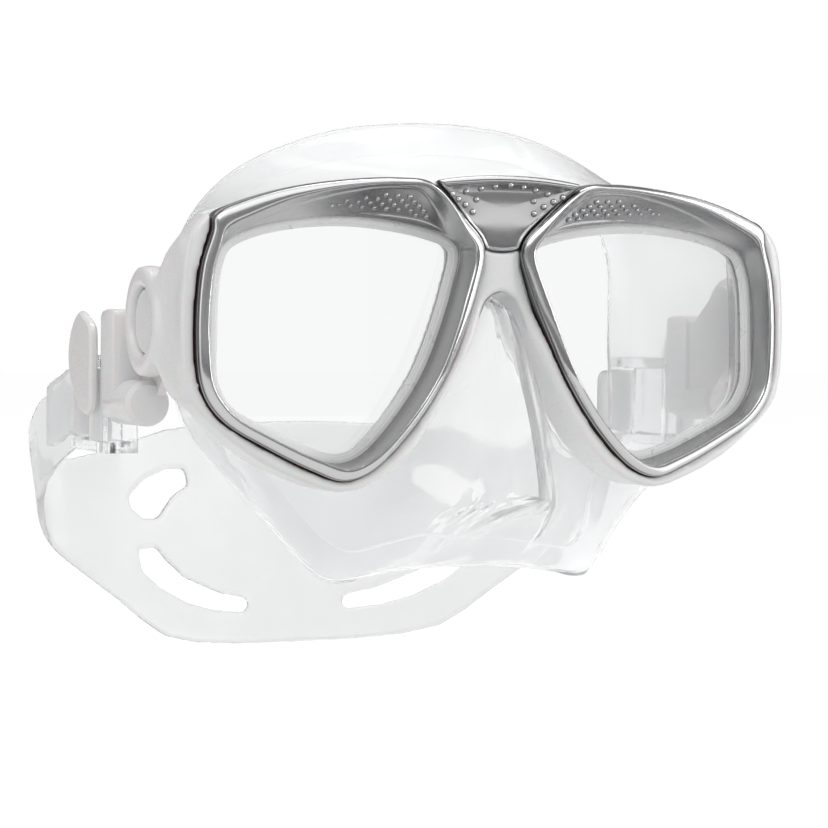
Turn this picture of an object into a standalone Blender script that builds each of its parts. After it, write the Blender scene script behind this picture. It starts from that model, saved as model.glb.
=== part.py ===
"""Two-lens diving mask with a swivelling silicone strap.

Metres, +Z up.  The wearer looks along -Y, so the wearer's left side is +X and the
head is at +Y.  The pieces are laid out from the lens plane (y = 0).  The empty that
carries them puts the middle of the face seal at the object's origin.
"""

import math

import bmesh
import bpy
from mathutils import Matrix, Vector

MM = 0.001
OBJECT_NAME = "diving_mask"
SIDES = (("left", 1), ("right", -1))
FIT_GAP = 0.35 * MM

# The face: the object's origin, and where the skirt meets the head.
FACE_DEPTH = 41.0 * MM
EYE_HEIGHT = 20.0 * MM
FACE_HALF_WIDTH = 69.0 * MM
FOREHEAD_HEIGHT = 55.8 * MM
LIP_DROP = 63.6 * MM

# Lens openings in the silver rims.
APERTURE_CENTRE = 42.3 * MM
APERTURE_WIDTH = 65.6 * MM
APERTURE_BASE = -12.1 * MM
APERTURE_HEIGHT = 60.6 * MM

# Lenses and the clear gasket round each.
LENS_FRONT = 7.5 * MM
LENS_THICKNESS = 3.6 * MM
LENS_COVER = 0.6 * MM
LENS_CHAMFER = 0.4 * MM
GASKET_SHOW = 2.3 * MM
GASKET_WALL = 0.75 * MM
GASKET_LIP = 0.8 * MM

# Silver rims.
RIM_WIDTH = 4.0 * MM
RIM_CREST = 5.0 * MM
RIM_SIDE = 3.2 * MM
RIM_LIP = 0.8 * MM
RIM_SEAT = 1.0 * MM
FRONT_SWEEP = 0.7

# Bridge clip between the rims.
CLIP_RISE = 2.1 * MM
CLIP_HEIGHT = 18.7 * MM
CLIP_BACK = 3.0 * MM
CLIP_CREST = 4.4 * MM
CLIP_SLOPE = 4.4 * MM
CLIP_EDGE = 1.1 * MM

# White frame.
FRAME_FRONT = 2.6 * MM
FRAME_BACK = 14.0 * MM
FRAME_LIP = 3.0 * MM
FRAME_ROUND = 1.3 * MM
BRIDGE_HEIGHT = 10.1 * MM
LEDGE_SHOW = 1.0 * MM

# Round eye at the end of each frame arm.
EYE_DEPTH = 28.0 * MM
EYE_LEVEL = 22.5 * MM
EYE_OUTER = 14.3 * MM
EYE_BORE = 8.6 * MM
EYE_CLEARANCE = 11.3 * MM
EYE_THICKNESS = 5.6 * MM
EYE_ROUND = 1.9 * MM
EYE_SQUASH = 0.92
ARM_SOFT = 2.0 * MM
ARM_WALL = 4.0 * MM

# Buckle bracket: a boss in the eye, the plate behind it, a block and a barrel.
BOSS_RECESS = 1.6 * MM
PLATE_THICKNESS = 2.2 * MM
PLATE_RADIUS = 11.0 * MM
BLOCK_CLEARANCE = 1.3 * MM
BLOCK_LENGTH = 11.9 * MM
BLOCK_RISE = 3.1 * MM
BLOCK_HEIGHT = 27.6 * MM
BLOCK_WIDTH = 11.4 * MM
BLOCK_ROUND = 1.8 * MM
BARREL_RADIUS = 5.8 * MM
BARREL_SETBACK = 3.6 * MM

# Clear buckle body, the lever's pin and the strap's roller.
STRAP_WIDTH = 18.4 * MM
STRAP_WALL = 2.2 * MM
STRAP_PLAY = 0.5 * MM
STRAP_LEVEL = 21.4 * MM
CHEEK_THICKNESS = 2.8 * MM
BODY_WIDTH = 8.2 * MM
BODY_WALL = 2.0 * MM
BODY_ROOM = 12.0 * MM
BODY_BAR = 2.4 * MM
BODY_LENGTH = 28.8 * MM
PIN_RADIUS = 0.9 * MM
KNUCKLE_RADIUS = 2.0 * MM
ROLLER_RADIUS = 3.4 * MM
AXLE_RADIUS = 1.0 * MM
PIN_SHY = 0.5 * MM

# Release lever.
LEVER_THICKNESS = 2.4 * MM
LEVER_HEIGHT = 26.8 * MM
LEVER_LENGTH = 20.0 * MM
LEVER_OVERHANG = 3.0 * MM
LEVER_ROUND = 0.7 * MM

# Skirt and the pad at the back of the strap.
SKIRT_WALL = 1.6 * MM
COLLAR_GRIP = 3.6 * MM
SEAL_ROLL = 9.5 * MM
NOSE_REACH = 23.8 * MM
NOSE_DROP = 21.5 * MM
PAD_HEIGHT = 67.0 * MM
PAD_REACH = 56.0 * MM
PAD_DROP = 40.6 * MM


# ---------------------------------------------------------------- scene and tools

def clear_scene():
    for old in list(bpy.data.objects):
        bpy.data.objects.remove(old)


def collection(name):
    made = bpy.data.collections.new(name)
    bpy.context.scene.collection.children.link(made)
    return made


def empty(name, at, parent=None):
    made = bpy.data.objects.new(name, None)
    bpy.context.scene.collection.objects.link(made)
    made.location = at
    made.parent = parent
    made.empty_display_size = 0.01
    return made


clear_scene()
PARTS = collection(OBJECT_NAME)
CUTTERS = collection(OBJECT_NAME + "_cutters")
MASK = empty(OBJECT_NAME, (0, -FACE_DEPTH, -EYE_HEIGHT))
SWIVEL = empty("strap_swivel", (0, EYE_DEPTH, EYE_LEVEL), MASK)

WHITE = ((0.82, 0.83, 0.84), 0.32, 0.0, 0.0)
SILVER = ((0.62, 0.62, 0.63), 0.28, 1.0, 0.0)
GLASS = ((0.97, 0.98, 0.98), 0.03, 0.0, 1.0)
CLEAR = ((0.93, 0.94, 0.95), 0.08, 0.0, 0.9)
SILICONE = ((0.90, 0.91, 0.92), 0.30, 0.0, 0.8)
STEEL = ((0.55, 0.55, 0.56), 0.25, 1.0, 0.0)


def material(name, finish):
    colour, roughness, metallic, transmission = finish
    made = bpy.data.materials.new(name)
    made.use_nodes = True
    shader = made.node_tree.nodes["Principled BSDF"]
    shader.inputs["Base Color"].default_value = (*colour, 1.0)
    shader.inputs["Roughness"].default_value = roughness
    shader.inputs["Metallic"].default_value = metallic
    shader.inputs["Transmission Weight"].default_value = transmission
    return made


def add_object(name, bm, finish=None, at=(0, 0, 0), parent=MASK):
    """Puts a bmesh in the scene with its origin at a point: a cutter if it has no finish."""
    at = Vector(at)
    carried = Vector((0, 0, 0)) if parent is MASK else Vector(parent.location)
    bmesh.ops.translate(bm, vec=-at, verts=bm.verts)
    mesh = bpy.data.meshes.new(name)
    bm.to_mesh(mesh)
    bm.free()
    made = bpy.data.objects.new(name, mesh)
    made.parent = parent
    made.location = at - carried
    if finish is None:
        CUTTERS.objects.link(made)
        made.hide_render = True
        made.display_type = "WIRE"
        return made
    PARTS.objects.link(made)
    mesh.materials.append(material(name, finish))
    mesh.shade_smooth()
    mesh.set_sharp_from_angle(angle=math.radians(32))
    return made


def boolean(target, other, operation="DIFFERENCE"):
    cut = target.modifiers.new(f"{operation.lower()}_{other.name}", "BOOLEAN")
    cut.operation = operation
    cut.solver = "EXACT"
    cut.object = other


def smooth_points(points, steps, closed=True):
    """A centripetal Catmull-Rom curve through the points, with steps to a span."""
    points = [Vector(p) for p in points]
    count = len(points)
    spans = count if closed else count - 1
    if not closed:
        points = [2 * points[0] - points[1], *points, 2 * points[-1] - points[-2]]
    curve = []
    for i in range(spans):
        if closed:
            a, b, c, d = (points[(i + k - 1) % count] for k in range(4))
        else:
            a, b, c, d = points[i:i + 4]
        t1 = (b - a).length ** 0.5
        t2 = t1 + (c - b).length ** 0.5
        t3 = t2 + (d - c).length ** 0.5
        for k in range(steps):
            t = t1 + (t2 - t1) * k / steps
            ab = a.lerp(b, t / t1)
            bc = b.lerp(c, (t - t1) / (t2 - t1))
            cd = c.lerp(d, (t - t2) / (t3 - t2))
            abc = ab.lerp(bc, t / t2)
            bcd = bc.lerp(cd, (t - t1) / (t3 - t1))
            curve.append(abc.lerp(bcd, (t - t1) / (t2 - t1)))
    if not closed:
        curve.append(points[-2])
    return curve


def grown(outline, distance):
    """The outline, (x, z) pairs, moved outwards by a distance."""
    count = len(outline)
    area = sum(
        outline[i - 1].x * outline[i].y - outline[i].x * outline[i - 1].y
        for i in range(count)
    )
    turn = 1 if area > 0 else -1
    moved = []
    for i, point in enumerate(outline):
        along = (outline[(i + 1) % count] - outline[i - 1]).normalized()
        moved.append(point + Vector((along.y, -along.x)) * turn * distance)
    return moved


def both_sides(half):
    """The closed outline of a half that runs from the middle plane to the middle plane."""
    return half + [Vector((-p.x, *p[1:])) for p in reversed(half[1:-1])]


def at_depth(outline, depth):
    """Stands an outline up at a depth, given as a number or a function of (x, z)."""
    if callable(depth):
        return [Vector((p.x, depth(p.x, p.y), p.y)) for p in outline]
    return [Vector((p.x, depth, p.y)) for p in outline]


def loft(rings, closed_section=False, capped=True):
    """Skins rings of equal count, with faces at both ends unless the section closes."""
    bm = bmesh.new()
    rows = [[bm.verts.new(p) for p in ring] for ring in rings]
    count = len(rows[0])
    pairs = list(zip(rows, rows[1:]))
    if closed_section:
        pairs.append((rows[-1], rows[0]))
    for low, high in pairs:
        for i in range(count):
            j = (i + 1) % count
            bm.faces.new((low[i], low[j], high[j], high[i]))
    if capped and not closed_section:
        bm.faces.new(rows[0])
        bm.faces.new(list(reversed(rows[-1])))
    bmesh.ops.recalc_face_normals(bm, faces=bm.faces)
    return bm


def for_side(bm, side):
    """The shape itself on the wearer's left, or its mirror image on the right."""
    if side < 0:
        bmesh.ops.transform(bm, matrix=Matrix.Scale(-1, 4, (1, 0, 0)), verts=bm.verts)
        bmesh.ops.reverse_faces(bm, faces=bm.faces)
    return bm


def block(low, high, rounding=0.0, segments=2):
    bm = bmesh.new()
    bmesh.ops.create_cube(bm, size=1.0)
    bmesh.ops.scale(bm, vec=Vector(high) - Vector(low), verts=bm.verts)
    bmesh.ops.translate(bm, vec=(Vector(high) + Vector(low)) / 2, verts=bm.verts)
    if rounding:
        bmesh.ops.bevel(bm, geom=bm.edges[:], offset=rounding, segments=segments,
                        profile=0.5, affect="EDGES", material=-1)
    return bm


AXIS_TURN = {
    "X": Matrix.Rotation(math.pi / 2, 4, "Y"),
    "Y": Matrix.Rotation(-math.pi / 2, 4, "X"),
    "Z": Matrix.Identity(4),
}


def rod(radius, start, length, axis, segments=24, chamfer=0.0):
    """A cylinder from a point along an axis, its two end edges chamfered."""
    bm = bmesh.new()
    bmesh.ops.create_cone(bm, cap_ends=True, segments=segments,
                          radius1=radius, radius2=radius, depth=length)
    if chamfer:
        ends = [e for e in bm.edges if abs(e.verts[0].co.z - e.verts[1].co.z) < 1e-9]
        bmesh.ops.bevel(bm, geom=ends, offset=chamfer, segments=1,
                        profile=0.5, affect="EDGES", material=-1)
    bmesh.ops.translate(bm, vec=(0, 0, length / 2), verts=bm.verts)
    bmesh.ops.transform(bm, matrix=AXIS_TURN[axis], verts=bm.verts)
    bmesh.ops.translate(bm, vec=start, verts=bm.verts)
    return bm


def prism(name, outline, front, back):
    """A cutter with a flat outline, from one depth to another."""
    return add_object(name, loft([at_depth(outline, front), at_depth(outline, back)]))


def arc(centre, radius, start, end, steps):
    """Points on a circle, by angles in degrees."""
    turn = [math.radians(start + (end - start) * k / steps) for k in range(steps + 1)]
    return [(centre[0] + radius * math.cos(t), centre[1] + radius * math.sin(t)) for t in turn]


# ---------------------------------------------------------------- rims

# Round the opening from the bridge over the brow and the temple: its place across
# (0 nose, 1 temple) and up (0 base, 1 top), then how far out the rim's edge lies
# there, across and up, in rim widths.
RIM_STATIONS = (
    (0.002, 0.865, -1.13, 0.32),
    (0.034, 0.917, -0.26, 1.28),
    (0.130, 0.955, 0.72, 2.86),
    (0.267, 0.983, 0.37, 2.66),
    (0.465, 1.000, 0.52, 2.22),
    (0.668, 0.985, 1.12, 1.83),
    (0.846, 0.941, 1.13, 1.59),
    (0.942, 0.886, 1.10, 1.65),
    (0.974, 0.820, 0.70, 1.70),
    (0.991, 0.731, 1.05, 0.93),
    (1.000, 0.497, 1.20, 0.37),
    (0.995, 0.323, 0.91, -0.47),
    (0.934, 0.206, 0.68, -0.45),
    (0.762, 0.102, 0.73, -0.55),
    (0.598, 0.025, 0.59, -0.75),
    (0.492, 0.000, 0.36, -1.02),
    (0.404, 0.030, -0.00, -0.90),
    (0.271, 0.173, -0.27, -0.77),
    (0.151, 0.363, -0.53, -0.47),
    (0.075, 0.559, -0.80, -0.29),
    (0.029, 0.719, -1.10, 0.08),
)
CURVE_STEPS = 2


def aperture_point(across, up):
    return Vector((
        APERTURE_CENTRE + (across - 0.5) * APERTURE_WIDTH,
        APERTURE_BASE + up * APERTURE_HEIGHT,
    ))


def rim_edge_point(station):
    across, up, out_x, out_z = RIM_STATIONS[station]
    return aperture_point(across, up) + Vector((out_x, out_z)) * RIM_WIDTH


STATIONS = range(len(RIM_STATIONS))
APERTURE = smooth_points([aperture_point(*RIM_STATIONS[k][:2]) for k in STATIONS], CURVE_STEPS)
RIM_EDGE = smooth_points([rim_edge_point(k) for k in STATIONS], CURVE_STEPS)

GASKET_REACH = LENS_COVER + FIT_GAP + GASKET_WALL
GASKET_FRONT = LENS_FRONT - FIT_GAP - GASKET_LIP
GASKET_BACK = LENS_FRONT + LENS_THICKNESS + FIT_GAP + GASKET_LIP
RIM_LIP_BACK = GASKET_FRONT - FIT_GAP
RIM_LIP_FRONT = RIM_LIP_BACK - RIM_LIP
RIM_BACK = LENS_FRONT + RIM_SEAT


def sweep(x):
    """How far the front falls back towards the temples."""
    return FRONT_SWEEP * x * x


def crest(x, z):
    return sweep(x) - RIM_CREST


def rim_inset(share):
    """The rim's edge moved a share of the way in, and no further than in a narrow rim."""
    moved = []
    for edge, inner in zip(RIM_EDGE, APERTURE):
        way = inner - edge
        moved.append(edge + way * share * min(1.0, RIM_WIDTH / way.length))
    return moved


def make_rims():
    """A round bead along the edge, and a shelf from it down to the lens opening."""
    shelf = [a.lerp(b, 0.5) for a, b in zip(rim_inset(0.72), APERTURE)]
    seat = grown(APERTURE, GASKET_REACH + FIT_GAP)
    rings = [
        at_depth(RIM_EDGE, RIM_BACK),
        at_depth(RIM_EDGE, lambda x, z: crest(x, z) + RIM_SIDE),
        at_depth(rim_inset(0.13), lambda x, z: crest(x, z) + 0.35 * RIM_SIDE),
        at_depth(rim_inset(0.33), crest),
        at_depth(rim_inset(0.55), lambda x, z: crest(x, z) + 0.1 * RIM_SIDE),
        at_depth(rim_inset(0.72), lambda x, z: crest(x, z) + 0.45 * RIM_SIDE),
        at_depth(shelf, lambda x, z: 0.45 * (crest(x, z) + 0.45 * RIM_SIDE)
                 + 0.55 * RIM_LIP_FRONT),
        at_depth(APERTURE, RIM_LIP_FRONT),
        at_depth(APERTURE, RIM_LIP_BACK),
        at_depth(seat, RIM_LIP_BACK),
        at_depth(seat, RIM_BACK),
    ]
    for word, side in SIDES:
        add_object(f"rim_{word}", for_side(loft(rings, closed_section=True), side), SILVER)


# ---------------------------------------------------------------- lenses and gaskets

def make_lenses():
    back = LENS_FRONT + LENS_THICKNESS
    edge = grown(APERTURE, LENS_COVER)
    face = grown(APERTURE, LENS_COVER - LENS_CHAMFER)
    rings = [
        at_depth(face, LENS_FRONT),
        at_depth(edge, LENS_FRONT + LENS_CHAMFER),
        at_depth(edge, back - LENS_CHAMFER),
        at_depth(face, back),
    ]
    for word, side in SIDES:
        add_object(f"lens_{word}", for_side(loft(rings), side), GLASS)


def make_gaskets():
    """A channel that grips the lens edge, its front lip showing inside the rim."""
    outside = grown(APERTURE, GASKET_REACH)
    channel = grown(APERTURE, LENS_COVER + FIT_GAP)
    show = grown(APERTURE, -GASKET_SHOW)
    behind = grown(APERTURE, -LEDGE_SHOW - FIT_GAP)
    rings = [
        at_depth(show, GASKET_FRONT + 0.4 * GASKET_LIP),
        at_depth(grown(APERTURE, -0.5 * GASKET_SHOW), GASKET_FRONT),
        at_depth(outside, GASKET_FRONT),
        at_depth(outside, GASKET_BACK),
        at_depth(behind, GASKET_BACK),
        at_depth(behind, GASKET_BACK - GASKET_LIP),
        at_depth(channel, GASKET_BACK - GASKET_LIP),
        at_depth(channel, LENS_FRONT - FIT_GAP),
        at_depth(show, LENS_FRONT - FIT_GAP),
    ]
    for word, side in SIDES:
        piece = for_side(loft(rings, closed_section=True), side)
        add_object(f"lens_gasket_{word}", piece, CLEAR)


# ---------------------------------------------------------------- bridge clip

CLIP_SHOULDER = rim_edge_point(2)
CLIP_TOP = CLIP_SHOULDER.y + CLIP_RISE
CLIP_BOTTOM = CLIP_TOP - CLIP_HEIGHT


def clip_outline(gap):
    """The clip's edge: a low arch on top, the rims' edges at its sides, a round foot."""
    side = grown(RIM_EDGE, gap)[:2 * CURVE_STEPS]
    side.reverse()
    top = [
        Vector((CLIP_SHOULDER.x * s, CLIP_TOP - 0.9 * CLIP_RISE * s ** 2.2 + gap - FIT_GAP))
        for s in (0.0, 0.2, 0.4, 0.6, 0.78, 0.93)
    ]
    rise = side[-1].y - CLIP_BOTTOM
    foot = [
        Vector((side[-1].x * 0.72, CLIP_BOTTOM + 0.45 * rise)),
        Vector((side[-1].x * 0.38, CLIP_BOTTOM + 0.1 * rise)),
        Vector((0.0, CLIP_BOTTOM)),
    ]
    return both_sides(top + side + foot)


def clip_face(x, z):
    return CLIP_SLOPE * (CLIP_TOP - z) / CLIP_HEIGHT - CLIP_CREST


def make_clip():
    edge = clip_outline(FIT_GAP)
    rings = [
        at_depth(edge, CLIP_BACK),
        at_depth(edge, lambda x, z: clip_face(x, z) + CLIP_EDGE),
        at_depth(grown(edge, -0.45 * CLIP_EDGE), clip_face),
    ]
    add_object("bridge_clip", loft(rings), SILVER)


# ---------------------------------------------------------------- frame

# Half the frame's outline, from the brow to the nose arch: how far out it stands from
# the rim's edge at each rim station after the bridge clip's, in frame lips.
FRAME_STAND = (
    (0.00, -0.15), (0.00, -0.15), (0.07, -0.20), (0.10, -0.20), (0.50, 0.03), (1.68, -0.45),
    (1.30, -0.30), (1.13, 0.00), (1.00, -0.53), (0.53, -0.50), (0.63, -1.00), (0.43, -1.03),
    (0.10, -0.95), (-0.55, -0.95), (-0.95, -0.95), (-1.18, 0.15), (-1.33, 0.00),
)
NOSE_ARCH = CLIP_BOTTOM - BRIDGE_HEIGHT


def frame_half():
    top = [
        Vector((0.0, CLIP_TOP - 0.4 * FRAME_LIP)),
        Vector((CLIP_SHOULDER.x * 0.75, CLIP_SHOULDER.y + 0.07 * FRAME_LIP)),
    ]
    around = []
    for station, out in enumerate(FRAME_STAND, 3):
        around.append(rim_edge_point(station) + Vector(out) * FRAME_LIP)
    shoulder = Vector((around[-1].x * 0.56, NOSE_ARCH - 0.23 * BRIDGE_HEIGHT))
    return top + around + [shoulder, Vector((0.0, NOSE_ARCH))]


FRAME_HALF = frame_half()
FRAME_OUTLINE = smooth_points(both_sides(FRAME_HALF), CURVE_STEPS)
SIDE_WALL = FRAME_HALF[9].x
ARM_ROOT = 0.36 * FRAME_BACK
EYE_INNER_FACE = FACE_HALF_WIDTH + EYE_CLEARANCE
EYE_OUTER_FACE = EYE_INNER_FACE + EYE_THICKNESS
EYE_BASE = EYE_LEVEL - EYE_OUTER
EYE_TOP = EYE_LEVEL + EYE_OUTER


def make_arm(side):
    """The shell from the frame's side wall back to the round eye."""
    behind = EYE_DEPTH - EYE_BORE - FRAME_BACK
    root = SIDE_WALL - ARM_WALL
    out = EYE_INNER_FACE - root
    wall = EYE_THICKNESS - 0.4 * ARM_SOFT
    tall = 0.4 * EYE_OUTER
    sections = (
        (ARM_ROOT, tall, root, SIDE_WALL - 0.3 * ARM_SOFT),
        (0.86 * FRAME_BACK, tall, root, SIDE_WALL + 0.1 * ARM_SOFT),
        (FRAME_BACK + 0.1 * behind, 0.66 * tall, root + 0.4 * out, root + 0.4 * out + wall),
        (FRAME_BACK + 0.5 * behind, 0.1 * tall, root + out, root + out + wall),
        (FRAME_BACK + 0.95 * behind, -0.6 * tall, EYE_INNER_FACE,
         EYE_OUTER_FACE - 0.2 * ARM_SOFT),
    )
    rings = []
    for depth, extra, inside, outside in sections:
        low = EYE_BASE - extra
        high = EYE_TOP + extra
        soft = outside - ARM_SOFT
        rings.append([
            Vector((inside, depth, low)), Vector((soft, depth, low)),
            Vector((outside - 0.3 * ARM_SOFT, depth, low + 0.3 * ARM_SOFT)),
            Vector((outside, depth, low + ARM_SOFT)),
            Vector((outside, depth, high - ARM_SOFT)),
            Vector((outside - 0.3 * ARM_SOFT, depth, high - 0.3 * ARM_SOFT)),
            Vector((soft, depth, high)), Vector((inside, depth, high)),
        ])
    return for_side(loft(rings), side)


def eye_profile():
    """Half the eye's section: (distance from the axis, along the axis)."""
    quarter = [math.radians(a) for a in (0, 45, 90)]
    bore_round = 0.5 * EYE_ROUND
    outside = EYE_OUTER - EYE_ROUND
    inside = EYE_BORE + bore_round
    section = []
    for t in quarter:
        section.append((outside + EYE_ROUND * math.sin(t), EYE_ROUND * (1 - math.cos(t))))
    for t in reversed(quarter):
        section.append((outside + EYE_ROUND * math.sin(t),
                        EYE_THICKNESS - EYE_ROUND * (1 - math.cos(t))))
    for t in quarter:
        section.append((inside - bore_round * math.sin(t),
                        EYE_THICKNESS - bore_round * (1 - math.cos(t))))
    for t in reversed(quarter):
        section.append((inside - bore_round * math.sin(t), bore_round * (1 - math.cos(t))))
    return section


def make_eye(name, side):
    """The turned eye, a little flatter front to back than it is tall."""
    bm = bmesh.new()
    points = [bm.verts.new((x, 0.0, r)) for r, x in eye_profile()]
    loop = [bm.edges.new((points[i - 1], points[i])) for i in range(len(points))]
    bmesh.ops.spin(bm, geom=points + loop, cent=(0, 0, 0), axis=(1, 0, 0),
                   angle=2 * math.pi, steps=36, use_merge=True)
    for vertex in bm.verts:
        reach = math.hypot(vertex.co.y, vertex.co.z)
        vertex.co.y *= 1 - (1 - EYE_SQUASH) * (reach - EYE_BORE) / (EYE_OUTER - EYE_BORE)
    bmesh.ops.translate(bm, vec=(EYE_INNER_FACE, EYE_DEPTH, EYE_LEVEL), verts=bm.verts)
    bmesh.ops.recalc_face_normals(bm, faces=bm.faces)
    return add_object(name, for_side(bm, side))


def make_frame():
    """The plate behind the rims with its pockets cut, then swept back at the sides."""
    soft = FRAME_ROUND
    rings = [
        at_depth(grown(FRAME_OUTLINE, -soft), -FRAME_FRONT),
        at_depth(grown(FRAME_OUTLINE, -0.3 * soft), 0.3 * soft - FRAME_FRONT),
        at_depth(FRAME_OUTLINE, soft - FRAME_FRONT),
        at_depth(FRAME_OUTLINE, FRAME_BACK - 0.6 * soft),
        at_depth(grown(FRAME_OUTLINE, -0.6 * soft), FRAME_BACK),
    ]
    frame = add_object("frame", loft(rings), WHITE)
    ahead = -10 * RIM_CREST
    for word, side in SIDES:
        arm = add_object(f"frame_arm_{word}", make_arm(side))
        boolean(frame, arm, "UNION")
        boolean(frame, make_eye(f"frame_eye_{word}", side), "UNION")
        flip = Vector((side, 1))
        pocket = [p * flip for p in grown(RIM_EDGE, FIT_GAP)]
        boolean(frame, prism(f"rim_pocket_{word}", pocket, ahead, RIM_BACK + FIT_GAP))
        pocket = [p * flip for p in grown(APERTURE, GASKET_REACH + FIT_GAP)]
        boolean(frame, prism(f"gasket_pocket_{word}", pocket, 0.9 * ahead,
                             GASKET_BACK + FIT_GAP))
        window = [p * flip for p in grown(APERTURE, -LEDGE_SHOW)]
        boolean(frame, prism(f"window_{word}", window, 0.8 * ahead, 3 * FRAME_BACK))
    seat = grown(clip_outline(FIT_GAP), FIT_GAP)
    boolean(frame, prism("clip_pocket", seat, ahead, CLIP_BACK + FIT_GAP))
    bpy.context.view_layer.update()
    graph = bpy.context.evaluated_depsgraph_get()
    cut = bpy.data.meshes.new_from_object(frame.evaluated_get(graph))
    frame.modifiers.clear()
    frame.data = cut
    for vertex in cut.vertices:
        if vertex.co.y < 0.98 * ARM_ROOT:
            vertex.co.y += sweep(vertex.co.x)


# ---------------------------------------------------------------- buckle brackets

BLOCK_FRONT = EYE_DEPTH + EYE_OUTER + BLOCK_CLEARANCE
BLOCK_BACK = BLOCK_FRONT + BLOCK_LENGTH
BLOCK_TOP = EYE_LEVEL + BLOCK_RISE
BLOCK_BASE = BLOCK_TOP - BLOCK_HEIGHT
PLATE_OUTER = EYE_INNER_FACE - FIT_GAP
PLATE_INNER = PLATE_OUTER - PLATE_THICKNESS
BLOCK_INNER = PLATE_INNER - 0.6 * PLATE_THICKNESS
BARREL_FRONT = EYE_DEPTH + BARREL_SETBACK
BARREL_LEVEL = EYE_BASE - FIT_GAP - BARREL_RADIUS


def make_bracket(word, side):
    """A boss that turns in the frame's eye, on a plate that carries block and barrel."""
    boss_start = (PLATE_OUTER - 0.5 * PLATE_THICKNESS, EYE_DEPTH, EYE_LEVEL)
    boss_length = EYE_OUTER_FACE - BOSS_RECESS - boss_start[0]
    boss = rod(EYE_BORE - FIT_GAP, boss_start, boss_length, "X", 32, 0.5 * MM)
    into_block = BLOCK_FRONT + 0.2 * BLOCK_LENGTH
    under = BARREL_LEVEL - 0.6 * BARREL_RADIUS
    plate = arc((EYE_DEPTH, EYE_LEVEL), PLATE_RADIUS, 90, 215, 10)
    plate += [
        (BARREL_FRONT + 0.35 * BARREL_RADIUS, BARREL_LEVEL),
        (BARREL_FRONT + 0.85 * BARREL_RADIUS, under),
        (into_block, under),
        (into_block, BLOCK_TOP - BLOCK_ROUND),
        (BLOCK_FRONT - 0.2 * BLOCK_LENGTH, BLOCK_TOP - BLOCK_ROUND),
    ]
    shape = loft([
        [Vector((PLATE_INNER, y, z)) for y, z in plate],
        [Vector((PLATE_OUTER, y, z)) for y, z in plate],
    ])
    at = (side * PLATE_OUTER, EYE_DEPTH, EYE_LEVEL)
    bracket = add_object(f"buckle_bracket_{word}", for_side(shape, side), WHITE, at, SWIVEL)
    body = block((BLOCK_INNER, BLOCK_FRONT, BLOCK_BASE),
                 (BLOCK_INNER + BLOCK_WIDTH, BLOCK_BACK, BLOCK_TOP), BLOCK_ROUND)
    barrel = rod(BARREL_RADIUS, (BLOCK_INNER + 0.5 * BLOCK_WIDTH, BARREL_FRONT, BARREL_LEVEL),
                 BLOCK_BACK - BLOCK_ROUND - BARREL_FRONT, "Y", 24, 0.2 * BARREL_RADIUS)
    for part, helper in (("boss", boss), ("block", body), ("barrel", barrel)):
        cutter = add_object(f"bracket_{part}_{word}", for_side(helper, side))
        boolean(bracket, cutter, "UNION")


# ---------------------------------------------------------------- buckle bodies

BODY_FRONT = BLOCK_BACK + FIT_GAP
BODY_INNER = PLATE_INNER - 0.3 * PLATE_THICKNESS
BODY_OUTER = BODY_INNER + BODY_WIDTH
ROOM_HEIGHT = STRAP_WIDTH + 2 * STRAP_PLAY
STRAP_MIDDLE = EYE_LEVEL - STRAP_LEVEL
ROOM_BASE = STRAP_MIDDLE - 0.5 * ROOM_HEIGHT
ROOM_TOP = STRAP_MIDDLE + 0.5 * ROOM_HEIGHT
CHEEK_BASE = ROOM_BASE - CHEEK_THICKNESS
CHEEK_TOP = ROOM_TOP + CHEEK_THICKNESS
PIN_DEPTH = BODY_FRONT + BODY_WALL + FIT_GAP + KNUCKLE_RADIUS
PIN_ACROSS = BODY_OUTER - 0.15 * KNUCKLE_RADIUS
ROLLER_DEPTH = PIN_DEPTH + BODY_LENGTH
ROLLER_ACROSS = BODY_INNER + 0.49 * BODY_WIDTH


def make_body(word, side):
    """Two cheeks joined by a front wall and a bar, with room for the strap between."""
    end_radius = 0.5 * BODY_WIDTH
    outline = [(BODY_INNER, BODY_FRONT), (BODY_OUTER, BODY_FRONT)]
    outline += arc((PIN_ACROSS, PIN_DEPTH), KNUCKLE_RADIUS, -60, 60, 4)
    outline += [(BODY_OUTER, PIN_DEPTH + 2 * KNUCKLE_RADIUS)]
    outline += arc((BODY_INNER + end_radius, ROLLER_DEPTH), end_radius, 0, 180, 8)
    cheeks = loft([
        [Vector((x, y, CHEEK_BASE)) for x, y in outline],
        [Vector((x, y, CHEEK_TOP)) for x, y in outline],
    ])
    at = (side * BODY_INNER, BODY_FRONT, STRAP_MIDDLE)
    body = add_object(f"buckle_body_{word}", for_side(cheeks, side), CLEAR, at, SWIVEL)
    bar = BODY_FRONT + BODY_WALL + BODY_ROOM
    beyond = ROLLER_DEPTH + BODY_LENGTH
    for part, start, end in (
        ("front", BODY_FRONT + BODY_WALL, bar), ("back", bar + BODY_BAR, beyond),
    ):
        room = block((BODY_INNER - BODY_WIDTH, start, ROOM_BASE),
                     (BODY_OUTER + BODY_WIDTH, end, ROOM_TOP))
        boolean(body, add_object(f"body_room_{part}_{word}", for_side(room, side)))
    for part, radius, across, depth in (
        ("pin", PIN_RADIUS, PIN_ACROSS, PIN_DEPTH),
        ("axle", AXLE_RADIUS, ROLLER_ACROSS, ROLLER_DEPTH),
    ):
        start = (across, depth, CHEEK_BASE - CHEEK_THICKNESS)
        hole = rod(radius + FIT_GAP, start, ROOM_HEIGHT + 4 * CHEEK_THICKNESS, "Z", 16)
        boolean(body, add_object(f"body_hole_{part}_{word}", for_side(hole, side)))


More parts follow.
